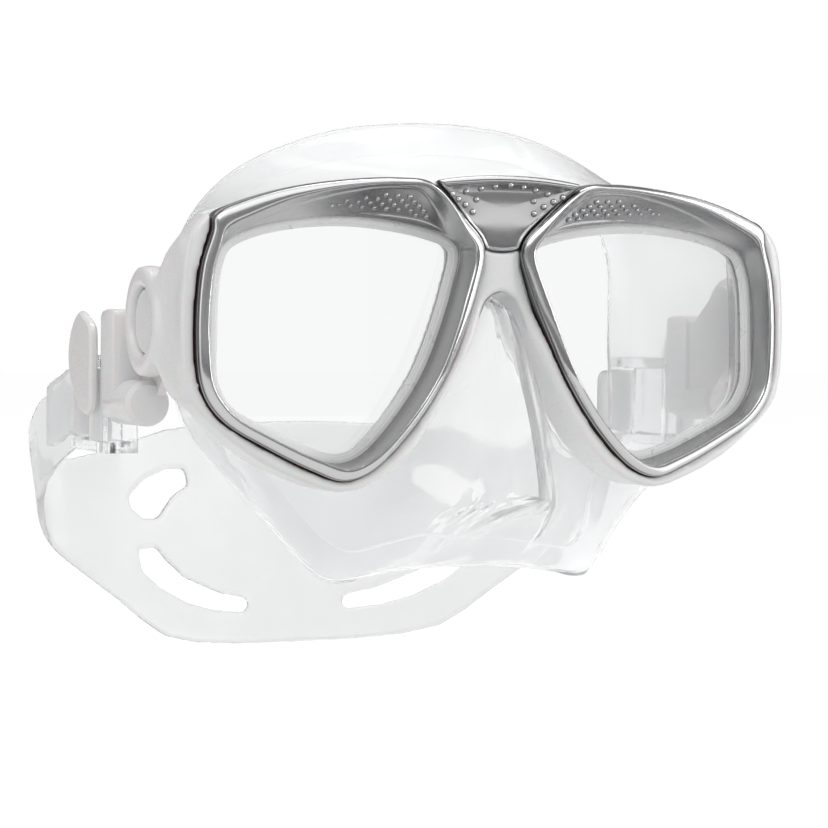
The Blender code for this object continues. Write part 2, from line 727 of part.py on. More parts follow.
def make_pin(name, side, radius, across, depth):
    """A steel pin through both cheeks, a little short of their faces."""
    start = (across, depth, CHEEK_BASE + PIN_SHY)
    length = CHEEK_TOP - CHEEK_BASE - 2 * PIN_SHY
    pin = rod(radius, start, length, "Z", 16, 0.2 * radius)
    at = (side * across, depth, STRAP_MIDDLE)
    add_object(name, for_side(pin, side), STEEL, at, SWIVEL)


def make_roller(word, side):
    start = (ROLLER_ACROSS, ROLLER_DEPTH, ROOM_BASE + FIT_GAP)
    shape = rod(ROLLER_RADIUS, start, ROOM_HEIGHT - 2 * FIT_GAP, "Z", 24, 0.12 * ROLLER_RADIUS)
    at = (side * ROLLER_ACROSS, ROLLER_DEPTH, STRAP_MIDDLE)
    roller = add_object(f"strap_roller_{word}", for_side(shape, side), WHITE, at, SWIVEL)
    bore = rod(AXLE_RADIUS + FIT_GAP, (ROLLER_ACROSS, ROLLER_DEPTH, CHEEK_BASE),
               CHEEK_TOP - CHEEK_BASE, "Z", 16)
    boolean(roller, add_object(f"roller_bore_{word}", for_side(bore, side)))


# The lever's leaf: along from its front edge and up from its foot, as shares.
LEAF = (
    (0.05, 0.05), (0.26, 0.00), (0.52, 0.06), (0.78, 0.22), (0.97, 0.42),
    (1.00, 0.62), (0.88, 0.82), (0.66, 0.96), (0.50, 1.00), (0.30, 0.95), (0.05, 0.86),
    (0.00, 0.76), (0.00, 0.30), (0.00, 0.14),
)


def make_lever(word, side):
    """A leaf-shaped thumb plate on a knuckle that turns on the lever's pin."""
    low = ROOM_BASE + FIT_GAP
    high = ROOM_TOP - FIT_GAP
    front = PIN_DEPTH - LEVER_OVERHANG
    inner = PIN_ACROSS + KNUCKLE_RADIUS + FIT_GAP
    foot = STRAP_MIDDLE - 0.1 * LEVER_HEIGHT
    leaf = smooth_points(
        [Vector((front + a * LEVER_LENGTH, foot + b * LEVER_HEIGHT)) for a, b in LEAF], 2)
    rings = []
    for x, inset in (
        (0.0, LEVER_ROUND), (LEVER_ROUND, 0.0),
        (LEVER_THICKNESS - LEVER_ROUND, 0.0), (LEVER_THICKNESS, LEVER_ROUND),
    ):
        rings.append([Vector((inner + x, p.x, p.y)) for p in grown(leaf, -inset)])
    at = (side * PIN_ACROSS, PIN_DEPTH, STRAP_MIDDLE)
    lever = add_object(f"release_lever_{word}", for_side(loft(rings), side), WHITE, at, SWIVEL)
    knuckle = rod(KNUCKLE_RADIUS, (PIN_ACROSS, PIN_DEPTH, low), high - low, "Z", 20)
    web = block((PIN_ACROSS, PIN_DEPTH - 0.6 * KNUCKLE_RADIUS, low),
                (inner + 0.5 * LEVER_THICKNESS, PIN_DEPTH + 0.6 * KNUCKLE_RADIUS, high))
    for part, shape in (("knuckle", knuckle), ("web", web)):
        helper = add_object(f"lever_{part}_{word}", for_side(shape, side))
        boolean(lever, helper, "UNION")
    hole = rod(PIN_RADIUS + FIT_GAP, (PIN_ACROSS, PIN_DEPTH, CHEEK_BASE),
               CHEEK_TOP - CHEEK_BASE, "Z", 16)
    boolean(lever, add_object(f"lever_hole_{word}", for_side(hole, side)))


# ---------------------------------------------------------------- skirt

# Where each frame station's line of the skirt meets the face: across, deep and up,
# as shares of the face's half width, the face depth, and the forehead's height
# above the eyes or the upper lip's drop below them.
FACE_LINE = (
    (0.00, 1.00, 1.00),
    (0.20, 1.03, 0.99),
    (0.39, 1.09, 0.96),
    (0.59, 1.14, 0.88),
    (0.78, 1.20, 0.76),
    (0.91, 1.28, 0.59),
    (0.975, 1.33, 0.42),
    (1.00, 1.37, 0.19),
    (1.00, 1.37, -0.08),
    (0.985, 1.31, -0.30),
    (0.93, 1.18, -0.46),
    (0.82, 1.00, -0.62),
    (0.715, 0.83, -0.78),
    (0.63, 0.69, -0.91),
    (0.545, 0.60, -0.995),
    (0.46, 0.58, -1.00),
    (0.35, 0.585, -0.98),
    (0.25, 0.60, -0.968),
    (0.175, 0.61, -0.962),
    (0.115, 0.61, -0.96),
    (0.00, 0.61, -0.96),
)

# How far the collar's edge lies inside the frame's outline, in frame lips.
COLLAR_INSET = (0.4, 0.4, 0.4, 0.4, 0.4, 0.67, 1.47, 1.93, 2.0, 2.0, 1.6, 0.83, 0.53,
                0.47, 0.4, 0.4, -0.2, -0.2, -0.2, -0.2, -0.2)

# The nose pocket, a line for each station from the cheek in to the middle of the nose.
# A line has six points, from the frame's nose wall down over the tip and back to the
# lip: across, as a share of the frame's wall there (of the nose's half width on the
# middle lines); forward from the frame's back, as a share of the nose's reach; and down
# from the frame's edge, as a share of the way to the tip.
NOSE_LINES = (
    ((0.84, -0.04, 0.02), (0.80, -0.05, 0.60), (0.79, -0.05, 1.10),
     (0.80, -0.06, 1.90), (0.84, -0.11, 2.95), (0.90, -0.19, 4.30)),
    ((0.86, 0.05, 0.02), (0.80, 0.13, 0.32), (0.79, 0.17, 0.66),
     (0.84, 0.17, 1.14), (0.92, 0.05, 1.45), (1.03, -0.12, 2.02)),
    ((0.94, 0.28, 0.00), (0.92, 0.34, 0.32), (0.98, 0.38, 0.66),
     (1.13, 0.40, 1.06), (1.20, 0.21, 1.20), (1.22, -0.07, 1.52)),
    ((0.92, 0.36, 0.00), (0.90, 0.41, 0.26), (1.04, 0.56, 0.62),
     (1.30, 0.62, 1.01), (1.34, 0.33, 1.10), (1.30, -0.04, 1.32)),
    ((0.86, 0.33, 0.00), (0.92, 0.49, 0.26), (1.12, 0.71, 0.63),
     (1.45, 0.80, 0.99), (1.52, 0.42, 1.07), (1.40, 0.00, 1.22)),
    ((0.00, 0.34, 0.04), (0.00, 0.63, 0.32), (0.00, 0.89, 0.67),
     (0.00, 1.00, 0.98), (0.00, 0.48, 1.06), (0.00, 0.00, 1.19)),
)
NOSE_START = len(FACE_LINE) - len(NOSE_LINES)


def face_point(k):
    across, deep, up = FACE_LINE[k]
    reach = FOREHEAD_HEIGHT if up > 0 else LIP_DROP
    return Vector((across * FACE_HALF_WIDTH, deep * FACE_DEPTH, EYE_HEIGHT + up * reach))


def nose_point(k, across, forward, down):
    wall = FRAME_HALF[k]
    return Vector((
        wall.x * across,
        FRAME_BACK - forward * (FRAME_BACK + NOSE_REACH),
        wall.y - down * (wall.y + NOSE_DROP),
    ))


def skirt_line(k):
    """One line of the skirt's outside, from the collar's inner edge to the seal's."""
    outline = both_sides(FRAME_HALF)
    inset = COLLAR_INSET[k] * FRAME_LIP
    front = FRAME_BACK + FIT_GAP
    start = at_depth([grown(outline, -inset)[k]], front)[0]
    line = [at_depth([grown(outline, -inset - COLLAR_GRIP)[k]], front)[0], start]
    face = face_point(k)
    if k >= NOSE_START:
        line += [nose_point(k, *p) for p in NOSE_LINES[k - NOSE_START]]
    else:
        flare = Vector((face.x - start.x, 0, face.z - start.z)) * 0.22
        flare *= 1.0 if 5 < k < 12 else -0.5
        for share in (0.06, 0.2, 0.4, 0.6, 0.78, 0.92):
            line.append(start.lerp(face, share) + flare * math.sin(math.pi * share))
    line.append(face)
    inward = (Vector((0, face.y, EYE_HEIGHT)) - face).normalized()
    for share, back in ((0.08, 0.22), (0.30, 0.34), (0.62, 0.33), (1.0, 0.24)):
        line.append(face + (inward * share + Vector((0, back, 0))) * SEAL_ROLL)
    return line


def make_skirt():
    half = [skirt_line(k) for k in range(len(FRAME_HALF))]
    rings = []
    for i in range(len(half[0])):
        rings.append(smooth_points(both_sides([line[i] for line in half]), CURVE_STEPS))
    shell = loft(rings, capped=False)
    skirt = add_object("skirt", shell, SILICONE)
    wall = skirt.modifiers.new("wall", "SOLIDIFY")
    wall.thickness = SKIRT_WALL
    wall.offset = -1


# ---------------------------------------------------------------- strap

# The tail behind the roller, from its end: across, deep and up from the roller's axis
# in turns of the roller's wrap, and the share of the strap's full width.
TAIL_RUN = (
    (1.60, 1.82, -0.87, 0.92),
    (1.40, 1.12, -0.59, 1.00),
    (1.11, 0.45, -0.30, 1.00),
)

# The band from the roller to the back of the head: across, as a share of the roller's
# place; back and down, as shares of the pad's reach and drop; how far its upper and
# lower halves have widened from strap to pad; and the lower edge's lean inwards, in
# strap walls.
BAND_RUN = (
    (0.946, 0.079, 0.012, 0.000, 0.000, 0.0),
    (0.973, 0.179, 0.057, 0.008, 0.008, 0.0),
    (1.025, 0.286, 0.145, 0.033, 0.050, 0.2),
    (1.078, 0.411, 0.288, 0.090, 0.115, 0.7),
    (1.089, 0.527, 0.530, 0.123, 0.156, 1.5),
    (1.030, 0.625, 0.717, 0.140, 0.177, 1.6),
    (0.901, 0.675, 0.815, 0.300, 0.320, 1.2),
    (0.741, 0.723, 0.889, 0.547, 0.547, 0.6),
    (0.543, 0.813, 0.963, 0.856, 0.877, 0.2),
    (0.272, 0.946, 0.995, 0.963, 0.980, 0.0),
    (0.000, 1.000, 1.000, 1.000, 1.000, 0.0),
)

# The slots that split the strap: across, as a share of the roller's place, and up from
# the pad's middle, in half pad heights.
STRAP_SLOTS = (
    ("upper", ((0.464, 0.58), (0.543, 0.585), (0.636, 0.49), (0.691, 0.37), (0.686, 0.275),
               (0.632, 0.175), (0.578, 0.17), (0.514, 0.36), (0.449, 0.445))),
    ("lower", ((0.654, -0.10), (0.580, -0.09), (0.548, -0.19), (0.459, -0.37),
               (0.304, -0.53), (0.198, -0.58), (0.183, -0.65), (0.205, -0.70),
               (0.326, -0.665), (0.444, -0.58), (0.556, -0.44), (0.635, -0.28))),
)


def strap_edges():
    """The strap's upper and lower edges from the left tail's end to the middle."""
    reach = 0.5 * STRAP_WIDTH
    widening = 0.5 * PAD_HEIGHT - reach
    wrap = ROLLER_RADIUS + FIT_GAP + 0.55 * STRAP_WALL
    axis = Vector((ROLLER_ACROSS, ROLLER_DEPTH, STRAP_MIDDLE))
    edges = []
    for sign in (1, -1):
        edge = []
        for x, y, z, share in TAIL_RUN:
            edge.append(axis + Vector((x, y, z)) * wrap + Vector((0, 0, sign * share * reach)))
        for x, y in arc((ROLLER_ACROSS, ROLLER_DEPTH), wrap, 0, -180, 6):
            edge.append(Vector((x, y, STRAP_MIDDLE + sign * reach)))
        for across, back, down, over, under, lean in BAND_RUN:
            half = reach + widening * (over if sign > 0 else under)
            tilt = lean * STRAP_WALL if sign < 0 else 0.0
            edge.append(Vector((
                across * ROLLER_ACROSS - tilt,
                ROLLER_DEPTH + back * PAD_REACH,
                STRAP_MIDDLE - down * PAD_DROP + sign * half,
            )))
        whole = edge + [Vector((-p.x, p.y, p.z)) for p in reversed(edge[:-1])]
        edges.append(smooth_points(whole, CURVE_STEPS, closed=False))
    return edges


def make_strap():
    upper, lower = strap_edges()
    bm = bmesh.new()
    tops = [bm.verts.new(p) for p in upper]
    bottoms = [bm.verts.new(p) for p in lower]
    for i in range(len(tops) - 1):
        bm.faces.new((tops[i], bottoms[i], bottoms[i + 1], tops[i + 1]))
    strap = add_object("strap", bm, SILICONE, (0, ROLLER_DEPTH, STRAP_MIDDLE), SWIVEL)
    wall = strap.modifiers.new("wall", "SOLIDIFY")
    wall.thickness = STRAP_WALL
    wall.offset = 0
    level = STRAP_MIDDLE - PAD_DROP
    for name, shape in STRAP_SLOTS:
        for word, side in SIDES:
            outline = [
                Vector((side * x * ROLLER_ACROSS, level + z * 0.5 * PAD_HEIGHT))
                for x, z in shape
            ]
            front = ROLLER_DEPTH + 0.2 * PAD_REACH
            slot = prism(f"slot_{name}_{word}", outline, front, ROLLER_DEPTH + 2 * PAD_REACH)
            boolean(strap, slot)


make_rims()
make_lenses()
make_gaskets()
make_clip()
make_frame()
for side_word, side_sign in SIDES:
    make_bracket(side_word, side_sign)
    make_body(side_word, side_sign)
    make_pin(f"lever_pin_{side_word}", side_sign, PIN_RADIUS, PIN_ACROSS, PIN_DEPTH)
    make_pin(f"roller_axle_{side_word}", side_sign, AXLE_RADIUS, ROLLER_ACROSS, ROLLER_DEPTH)
    make_roller(side_word, side_sign)
    make_lever(side_word, side_sign)
make_skirt()
make_strap()
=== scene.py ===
"""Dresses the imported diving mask: silver rims, pale frame, clear silicone and buckles."""

import math

import bmesh
import bpy
from mathutils import Matrix, Vector
from mathutils.bvhtree import BVHTree


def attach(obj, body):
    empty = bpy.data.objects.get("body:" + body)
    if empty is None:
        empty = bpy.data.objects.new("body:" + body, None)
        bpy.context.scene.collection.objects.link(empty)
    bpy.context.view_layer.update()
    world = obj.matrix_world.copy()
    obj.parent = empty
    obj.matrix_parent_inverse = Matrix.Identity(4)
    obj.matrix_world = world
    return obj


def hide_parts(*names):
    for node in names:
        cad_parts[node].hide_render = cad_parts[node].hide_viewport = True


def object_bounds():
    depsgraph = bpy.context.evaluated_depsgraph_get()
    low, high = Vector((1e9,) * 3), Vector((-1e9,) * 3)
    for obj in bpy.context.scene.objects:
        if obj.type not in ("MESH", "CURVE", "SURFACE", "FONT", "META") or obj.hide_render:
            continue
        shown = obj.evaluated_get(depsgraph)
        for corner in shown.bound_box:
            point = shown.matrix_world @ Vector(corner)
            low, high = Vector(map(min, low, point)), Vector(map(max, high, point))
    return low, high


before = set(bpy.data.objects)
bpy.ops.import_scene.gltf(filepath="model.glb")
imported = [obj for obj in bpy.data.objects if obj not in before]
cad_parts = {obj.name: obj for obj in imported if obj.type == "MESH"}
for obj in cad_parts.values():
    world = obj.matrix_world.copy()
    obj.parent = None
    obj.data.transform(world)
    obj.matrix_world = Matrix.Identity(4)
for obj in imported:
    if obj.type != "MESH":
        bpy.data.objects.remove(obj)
cad_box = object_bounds()


# ---------------------------------------------------------------- studio
# A pale seamless table under an even soft box and three lamps.  Round it stands a tent of
# cards, from black to bright, that only reflections see.  None of it is part of the mask.

MM = 0.001
TABLE_HALF = 6.0
TABLE_CLEARANCE = 1.0 * MM
PAPER_GLOW = 0.84
PAPER_SHARE_ON_PIECES = 0.6
PAPER_COLOUR = (0.24, 0.24, 0.24)
AIR_ON_PIECES = 0.62
WHITE = (1.0, 1.0, 1.0, 1.0)
LAMP_POWER = 4.0
MASK_MIDDLE = (0, 0, 0.02)


def studio_surface(name, own_light, colour):
    """A surface seen as near white, which throws less light than that on the pieces."""
    made = bpy.data.materials.new(name)
    made.use_nodes = True
    tree = made.node_tree
    tree.nodes.clear()
    out = tree.nodes.new("ShaderNodeOutputMaterial")
    mix = tree.nodes.new("ShaderNodeAddShader")
    lit = tree.nodes.new("ShaderNodeBsdfDiffuse")
    lit.inputs["Color"].default_value = (*colour, 1.0)
    glow = tree.nodes.new("ShaderNodeEmission")
    level = tree.nodes.new("ShaderNodeMapRange")
    level.inputs["To Min"].default_value = PAPER_SHARE_ON_PIECES * own_light
    level.inputs["To Max"].default_value = own_light
    tree.links.new(seen_directly(tree), level.inputs["Value"])
    tree.links.new(level.outputs["Result"], glow.inputs["Strength"])
    tree.links.new(lit.outputs[0], mix.inputs[0])
    tree.links.new(glow.outputs[0], mix.inputs[1])
    tree.links.new(mix.outputs[0], out.inputs["Surface"])
    return made


def seen_directly(tree):
    """1 for camera, glossy and transmission rays."""
    path = tree.nodes.new("ShaderNodeLightPath")
    first = tree.nodes.new("ShaderNodeMath")
    first.operation = "MAXIMUM"
    second = tree.nodes.new("ShaderNodeMath")
    second.operation = "MAXIMUM"
    tree.links.new(path.outputs["Is Camera Ray"], first.inputs[0])
    tree.links.new(path.outputs["Is Glossy Ray"], first.inputs[1])
    tree.links.new(first.outputs[0], second.inputs[0])
    tree.links.new(path.outputs["Is Transmission Ray"], second.inputs[1])
    return second.outputs[0]


def add_stage(name, bm, material):
    """Puts a table or card in the studio, apart from the mask's own pieces."""
    mesh = bpy.data.meshes.new(name)
    bm.to_mesh(mesh)
    bm.free()
    made = bpy.data.objects.new(name, mesh)
    mesh.materials.append(material)
    bpy.context.scene.collection.objects.link(made)
    return made


table = bmesh.new()
bmesh.ops.create_grid(table, x_segments=1, y_segments=1, size=TABLE_HALF)
bmesh.ops.translate(table, vec=(0, 0, cad_box[0][2] - TABLE_CLEARANCE), verts=table.verts)
add_stage("studio_table", table, studio_surface("studio_paper", PAPER_GLOW, PAPER_COLOUR))

world = bpy.data.worlds.new("studio_air")
bpy.context.scene.world = world
world.use_nodes = True
sky = world.node_tree
sky.nodes.clear()
sky_out = sky.nodes.new("ShaderNodeOutputWorld")
soft = sky.nodes.new("ShaderNodeBackground")
soft.inputs["Color"].default_value = WHITE
soft.inputs["Strength"].default_value = AIR_ON_PIECES
white = sky.nodes.new("ShaderNodeBackground")
white.inputs["Color"].default_value = WHITE
choose = sky.nodes.new("ShaderNodeMixShader")
sky.links.new(seen_directly(sky), choose.inputs["Fac"])
sky.links.new(soft.outputs[0], choose.inputs[1])
sky.links.new(white.outputs[0], choose.inputs[2])
sky.links.new(choose.outputs[0], sky_out.inputs["Surface"])


def aimed(at, target):
    """The placing of a lamp or card that stands at one point and faces another."""
    turn = (Vector(target) - Vector(at)).to_track_quat("-Z", "Y").to_matrix()
    return Matrix.LocRotScale(Vector(at), turn, None)


def add_lamp(name, at, width, height):
    """A soft lamp, turned to the mask."""
    lamp = bpy.data.lights.new(name, "AREA")
    lamp.shape = "RECTANGLE"
    lamp.size = width
    lamp.size_y = height
    lamp.energy = LAMP_POWER
    holder = bpy.data.objects.new(name, lamp)
    bpy.context.scene.collection.objects.link(holder)
    holder.matrix_world = aimed(at, (0, 0, 0))


add_lamp("key_lamp", (-0.75, -0.75, 0.95), 0.7, 0.5)
add_lamp("strip_lamp", (0.9, -0.7, 0.35), 0.12, 0.9)
add_lamp("top_lamp", (0.1, 0.15, 1.1), 0.9, 0.25)


def add_card(name, at, target, width, height, light):
    """A card of the studio's tent, from black to bright, that only reflections see."""
    card = bmesh.new()
    bmesh.ops.create_grid(card, x_segments=1, y_segments=1, size=0.5)
    bmesh.ops.scale(card, vec=(width, height, 1), verts=card.verts)
    bmesh.ops.transform(card, matrix=aimed(at, target), verts=card.verts)
    paint = bpy.data.materials.new(name)
    paint.use_nodes = True
    tree = paint.node_tree
    tree.nodes.clear()
    out = tree.nodes.new("ShaderNodeOutputMaterial")
    glow = tree.nodes.new("ShaderNodeEmission")
    glow.inputs["Strength"].default_value = light
    tree.links.new(glow.outputs[0], out.inputs["Surface"])
    made = add_stage(name, card, paint)
    for ray in ("camera", "diffuse", "shadow", "transmission", "volume_scatter"):
        setattr(made, f"visible_{ray}", False)


# Each card's place, width, height and light.  The low ones lie flat and face upwards, and
# the others face the mask.
for name, at, width, height, light in (
    ("tent_front", (-0.3, -1.9, 0.7), 3.4, 2.2, 0.30),
    ("tent_left", (-1.35, -0.85, 0.25), 1.0, 1.0, 0.42),
    ("tent_far_left", (-1.5, 0.15, 0.25), 0.7, 1.2, 2.0),
    ("flag_left", (-1.2, 1.0, 0.70), 1.5, 2.1, 0.42),
    ("tent_right", (0.96, -1.48, 0.25), 0.75, 1.0, 0.14),
    ("tent_far_right", (1.63, -0.69, 0.25), 1.3, 1.2, 1.6),
    ("flag_right", (1.5, 0.45, 0.3), 1.1, 1.6, 0.06),
    ("tent_top", (0.0, -0.88, 1.21), 1.9, 1.3, 1.7),
    ("tent_roof", (0.0, 0.25, 1.7), 3.0, 1.5, 0.18),
    ("flag_back", (0.3, 1.6, 0.70), 2.8, 1.8, 0.26),
    ("flag_low", (0.0, -0.085, -0.012), 0.36, 0.07, 0.30),
    ("sheet_low", (0.38, -0.14, -0.070), 0.60, 0.17, 1.9),
):
    above = (at[0], at[1] + MM, 0.9)
    target = above if name.endswith("low") else MASK_MIDDLE
    add_card(name, at, target, width, height, light)

# The camera stands to the wearer's right, turned in degrees by its yaw, pitch and roll.
CAMERA_TURN = (23.534, 1.617, 0.4234)
CAMERA_PLACE = (-0.284628, -0.639831, -0.001454)
view = bpy.data.cameras.new("photographer")
view.lens = 115.2
view.sensor_width = 36.0
camera = bpy.data.objects.new("photographer", view)
bpy.context.scene.collection.objects.link(camera)
yaw, pitch, roll = (math.radians(angle) for angle in CAMERA_TURN)
rows = (Matrix.Rotation(roll, 3, "Y") @ Matrix.Rotation(pitch, 3, "X")
        @ Matrix.Rotation(yaw, 3, "Z"))
facing = Matrix((rows[0], rows[2], -rows[1])).transposed()
camera.matrix_world = Matrix.LocRotScale(Vector(CAMERA_PLACE), facing, None)
bpy.context.scene.camera = camera
bpy.context.scene.view_settings.view_transform = "Standard"


# ---------------------------------------------------------------- frame
# The frame is one moulding of milky polycarbonate.  It carries both rims in pockets and
# ends in a round eye on each side, where the buckle bracket snaps in.

SIDES = (("left", 1), ("right", -1))
LENS_PLANE = Vector((0, -41.0, -20.0))

# In millimetres, as all lengths from here on that aren't followed by MM: the eye's middle
# and radius, where the arm starts, and how the bridge sinks between the rims.
EYE_DEPTH, EYE_LEVEL, EYE_RADIUS = 28.0, 22.5, 13.6
ARM_ACROSS, ARM_DEPTH = 77.0, 8.0
BRIDGE_DEPTH, BRIDGE_HALF = 0.5, 17.0
BRIDGE_FOOT, BRIDGE_RISE, BRIDGE_SINK = 14.0, 16.0, 3.0
FRAME_CELL = 0.8

WELD_GAP, SEAM_GAP = 0.002, 0.001
QUAD_TURN, QUAD_SKEW = math.radians(38), math.radians(60)
BEVEL_STEPS, BEVEL_ANGLE = 3, math.radians(35)
NOISE_LOW, NOISE_HIGH = 0.3, 0.7


def finish(name, colour, roughness, **settings):
    """A Principled material whose fine detail is added by grain()."""
    made = bpy.data.materials.new(name)
    made.use_nodes = True
    shader = made.node_tree.nodes["Principled BSDF"]
    shader.inputs["Base Color"].default_value = (*colour, 1.0)
    shader.inputs["Roughness"].default_value = roughness
    for socket, value in settings.items():
        shader.inputs[socket.replace("_", " ")].default_value = value
    return made


def grain(material, size, depth, tone=0.0, rough=0.0, detail=3.0):
    """Moulded or blasted grain: a bump, with a little change of tone and roughness."""
    tree = material.node_tree
    shader = tree.nodes["Principled BSDF"]
    where = tree.nodes.new("ShaderNodeTexCoord")
    noise = tree.nodes.new("ShaderNodeTexNoise")
    noise.inputs["Scale"].default_value = 1.0 / size
    noise.inputs["Detail"].default_value = detail
    tree.links.new(where.outputs["Object"], noise.inputs["Vector"])
    bump = tree.nodes.new("ShaderNodeBump")
    bump.inputs["Strength"].default_value = 1.0
    bump.inputs["Distance"].default_value = depth
    tree.links.new(noise.outputs["Fac"], bump.inputs["Height"])
    tree.links.new(bump.outputs["Normal"], shader.inputs["Normal"])
    if tone:
        vary(tree, noise, shader, "Base Color", tone)
    if rough:
        vary(tree, noise, shader, "Roughness", rough)


def vary(tree, noise, shader, socket, amount):
    """Moves a socket's value a little to each side with the noise."""
    base = shader.inputs[socket].default_value
    ramp = tree.nodes.new("ShaderNodeMapRange")
    ramp.inputs["From Min"].default_value = NOISE_LOW
    ramp.inputs["From Max"].default_value = NOISE_HIGH
    tree.links.new(noise.outputs["Fac"], ramp.inputs["Value"])
    if socket == "Roughness":
        ramp.inputs["To Min"].default_value = max(0.0, base - amount)
        ramp.inputs["To Max"].default_value = base + amount
        tree.links.new(ramp.outputs["Result"], shader.inputs[socket])
        return
    mix = tree.nodes.new("ShaderNodeMix")
    mix.data_type = "RGBA"
    mix.inputs["A"].default_value = [c * (1 - amount) for c in base[:3]] + [1.0]
    mix.inputs["B"].default_value = [min(1.0, c * (1 + amount)) for c in base[:3]] + [1.0]
    ramp.inputs["To Min"].default_value = 0.0
    ramp.inputs["To Max"].default_value = 1.0
    tree.links.new(ramp.outputs["Result"], mix.inputs["Factor"])
    tree.links.new(mix.outputs["Result"], shader.inputs[socket])


def welded(node):
    """The shape of a CAD node, its triangles welded and joined into quads."""
    bm = bmesh.new()
    bm.from_mesh(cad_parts[node].data)
    bmesh.ops.remove_doubles(bm, verts=bm.verts, dist=WELD_GAP * MM)
    bmesh.ops.join_triangles(bm, faces=bm.faces, angle_face_threshold=QUAD_TURN,
                             angle_shape_threshold=QUAD_SKEW)
    return bm


def moulded(node, cell):
    """The shape of a CAD node in small even cells, ready to be softened."""
    bm = welded(node)
    mesh = bpy.data.meshes.new("draft")
    bm.to_mesh(mesh)
    bm.free()
    draft = bpy.data.objects.new("draft", mesh)
    bpy.context.scene.collection.objects.link(draft)
    cells = draft.modifiers.new("cells", "REMESH")
    cells.mode = "VOXEL"
    cells.voxel_size = cell * MM
    even = bmesh.new()
    even.from_object(draft, bpy.context.evaluated_depsgraph_get())
    bpy.data.objects.remove(draft)
    bpy.data.meshes.remove(mesh)
    return even


def soften(bm, rounds, where=None):
    """Rounds the edges of an evenly meshed shape, all over or only at some places."""
    verts = [v for v in bm.verts if where is None or where(v.co / MM - LENS_PLANE)]
    for _ in range(rounds):
        bmesh.ops.smooth_vert(bm, verts=verts, factor=0.5, use_axis_x=True,
                              use_axis_y=True, use_axis_z=True)


def add_piece(name, bm, material, body, nodes=(), levels=0, bevel=0.0, smooth=40):
    """Puts a piece in the scene, on its body and in its slot."""
    mesh = bpy.data.meshes.new(name)
    bm.to_mesh(mesh)
    bm.free()
    mesh.materials.append(material)
    mesh.shade_smooth()
    mesh.set_sharp_from_angle(angle=math.radians(smooth))
    made = bpy.data.objects.new(name, mesh)
    bpy.context.scene.collection.objects.link(made)
    if bevel:
        edge = made.modifiers.new("edges", "BEVEL")
        edge.width = bevel
        edge.segments = BEVEL_STEPS
        edge.limit_method = "ANGLE"
        edge.angle_limit = BEVEL_ANGLE
        edge.harden_normals = True
    if levels:
        skin = made.modifiers.new("skin", "SUBSURF")
        skin.levels = levels
        skin.render_levels = levels
    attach(made, body)
    if nodes:
        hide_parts(*nodes)
    return made


milky = finish("milky_polycarbonate", (0.78, 0.78, 0.78), 0.30,
               Subsurface_Weight=0.25, Subsurface_Scale=0.004, Coat_Weight=0.15)
grain(milky, 0.35 * MM, 0.006 * MM, 0.012, 0.04)


def on_arm(p):
    """The side walls that sweep back from the rims to the eye, but not the eye itself."""
    away = ((p.y - EYE_DEPTH) ** 2 + (p.z - EYE_LEVEL) ** 2) ** 0.5
    return abs(p.x) > ARM_ACROSS and p.y > ARM_DEPTH and away > EYE_RADIUS


def eased(share):
    """A share from 0 to 1, with a smooth start and end."""
    return share * share * (3 - 2 * share)


shell = moulded("frame", FRAME_CELL)
soften(shell, rounds=2)
soften(shell, rounds=24, where=on_arm)
for vert in shell.verts:
    x, y, z = vert.co / MM - LENS_PLANE
    if y < BRIDGE_DEPTH and abs(x) < BRIDGE_HALF:
        share = min(1.0, max(0.0, (z - BRIDGE_FOOT) / BRIDGE_RISE))
        vert.co.y += BRIDGE_SINK * eased(share) * MM
add_piece("frame_shell", shell, milky, "mask", ("frame",), smooth=60)


# ---------------------------------------------------------------- rims
# Each rim is a pressed metal ring with a satin silver finish.  A thin flange and a round
# bead run along its edge, and a shelf with rows of studs widens inside it over the brow.

RIM_WIDTH = 4.0
OPENING_CENTRE, OPENING_WIDTH = 42.3, 65.6
OPENING_BASE, OPENING_HEIGHT = -12.1, 60.6
CREST, SWEEP = -5.0, 0.0007
RIM_STEPS = 6
BEAD_LIMIT = 0.88
SEAT_REACH = 2.05

# Round the opening from the bridge over the brow: across and up as shares, then how far
# out the rim's edge lies there, in rim widths.
RIM_STATIONS = (
    (0.002, 0.865, -1.13, 0.32), (0.034, 0.917, -0.26, 1.28), (0.130, 0.955, 0.72, 2.86),
    (0.267, 0.983, 0.37, 2.66), (0.465, 1.000, 0.52, 2.22), (0.668, 0.985, 1.12, 1.83),
    (0.846, 0.941, 1.13, 1.59), (0.942, 0.886, 1.10, 1.65), (0.974, 0.820, 0.70, 1.70),
    (0.991, 0.731, 1.05, 0.93), (1.000, 0.497, 1.20, 0.37), (0.995, 0.323, 0.91, -0.47),
    (0.934, 0.206, 0.68, -0.45), (0.762, 0.102, 0.73, -0.55), (0.598, 0.025, 0.59, -0.75),
    (0.492, 0.000, 0.36, -1.02), (0.404, 0.030, 0.00, -0.90), (0.271, 0.173, -0.27, -0.77),
    (0.151, 0.363, -0.53, -0.47), (0.075, 0.559, -0.80, -0.29), (0.029, 0.719, -1.10, 0.08),
)

